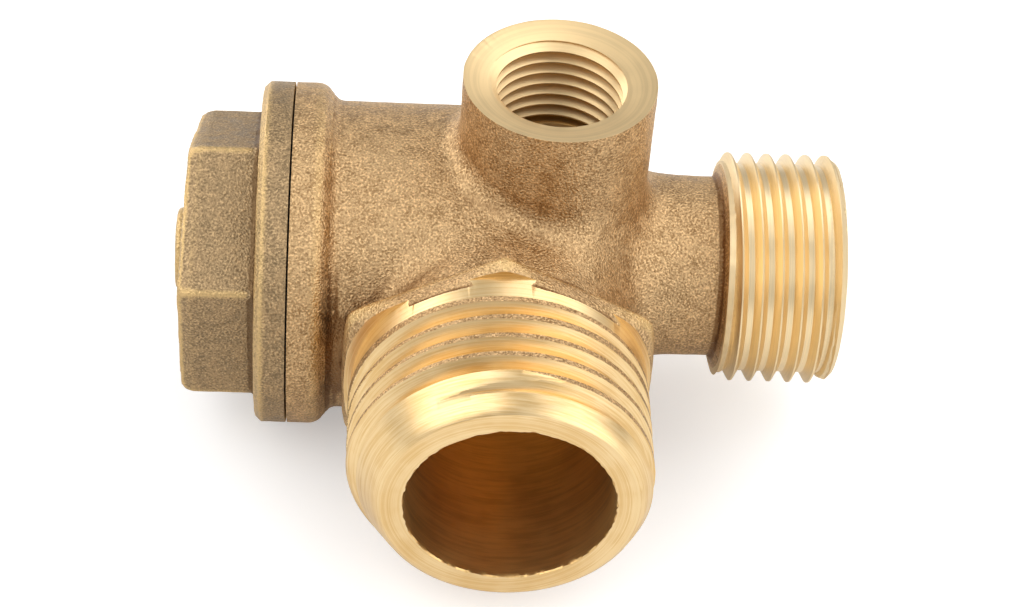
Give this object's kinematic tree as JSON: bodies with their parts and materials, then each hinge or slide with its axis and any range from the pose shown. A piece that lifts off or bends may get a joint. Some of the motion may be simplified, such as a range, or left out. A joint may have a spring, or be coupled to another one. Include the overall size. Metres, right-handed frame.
{
  "type": "compressor non-return valve",
  "caption": "Brass non-return valve with threaded inlet, tank and unloader ports and a hexagonal screwed cap over a spring-loaded poppet.",
  "frame": {"origin": "centre of the tank port's end face, on the tank port's axis", "axes": "+X along the barrel towards the inlet port, -Y out of the tank port, +Z out of the unloader boss"},
  "size_m": [0.0498, 0.0387, 0.0308],
  "materials": {
    "body_brass": "shot-blasted casting with bright turned threads and faces",
    "cap_brass": "shot-blasted hot-pressed brass",
    "gasket_rubber": "thin flat gasket",
    "spring_steel": "drawn stainless wire",
    "poppet_brass": "turned",
    "seal_rubber": "moulded nitrile rubber"
  },
  "bodies": {
    "housing": {"valve_body": "body_brass", "end_cap": "cap_brass", "cap_gasket": "gasket_rubber", "return_spring": "spring_steel"},
    "plunger": {"poppet": "poppet_brass", "seal_disc": "seal_rubber"}
  },
  "joints": [
    {"name": "poppet_slide", "type": "slide", "parent": "housing", "child": "plunger", "axis": [-1, 0, 0], "range_m": [0, 0.0034], "stiffness_N_per_m": 60, "springref_m": -0.0048, "deforming": ["return_spring"]}
  ]
}
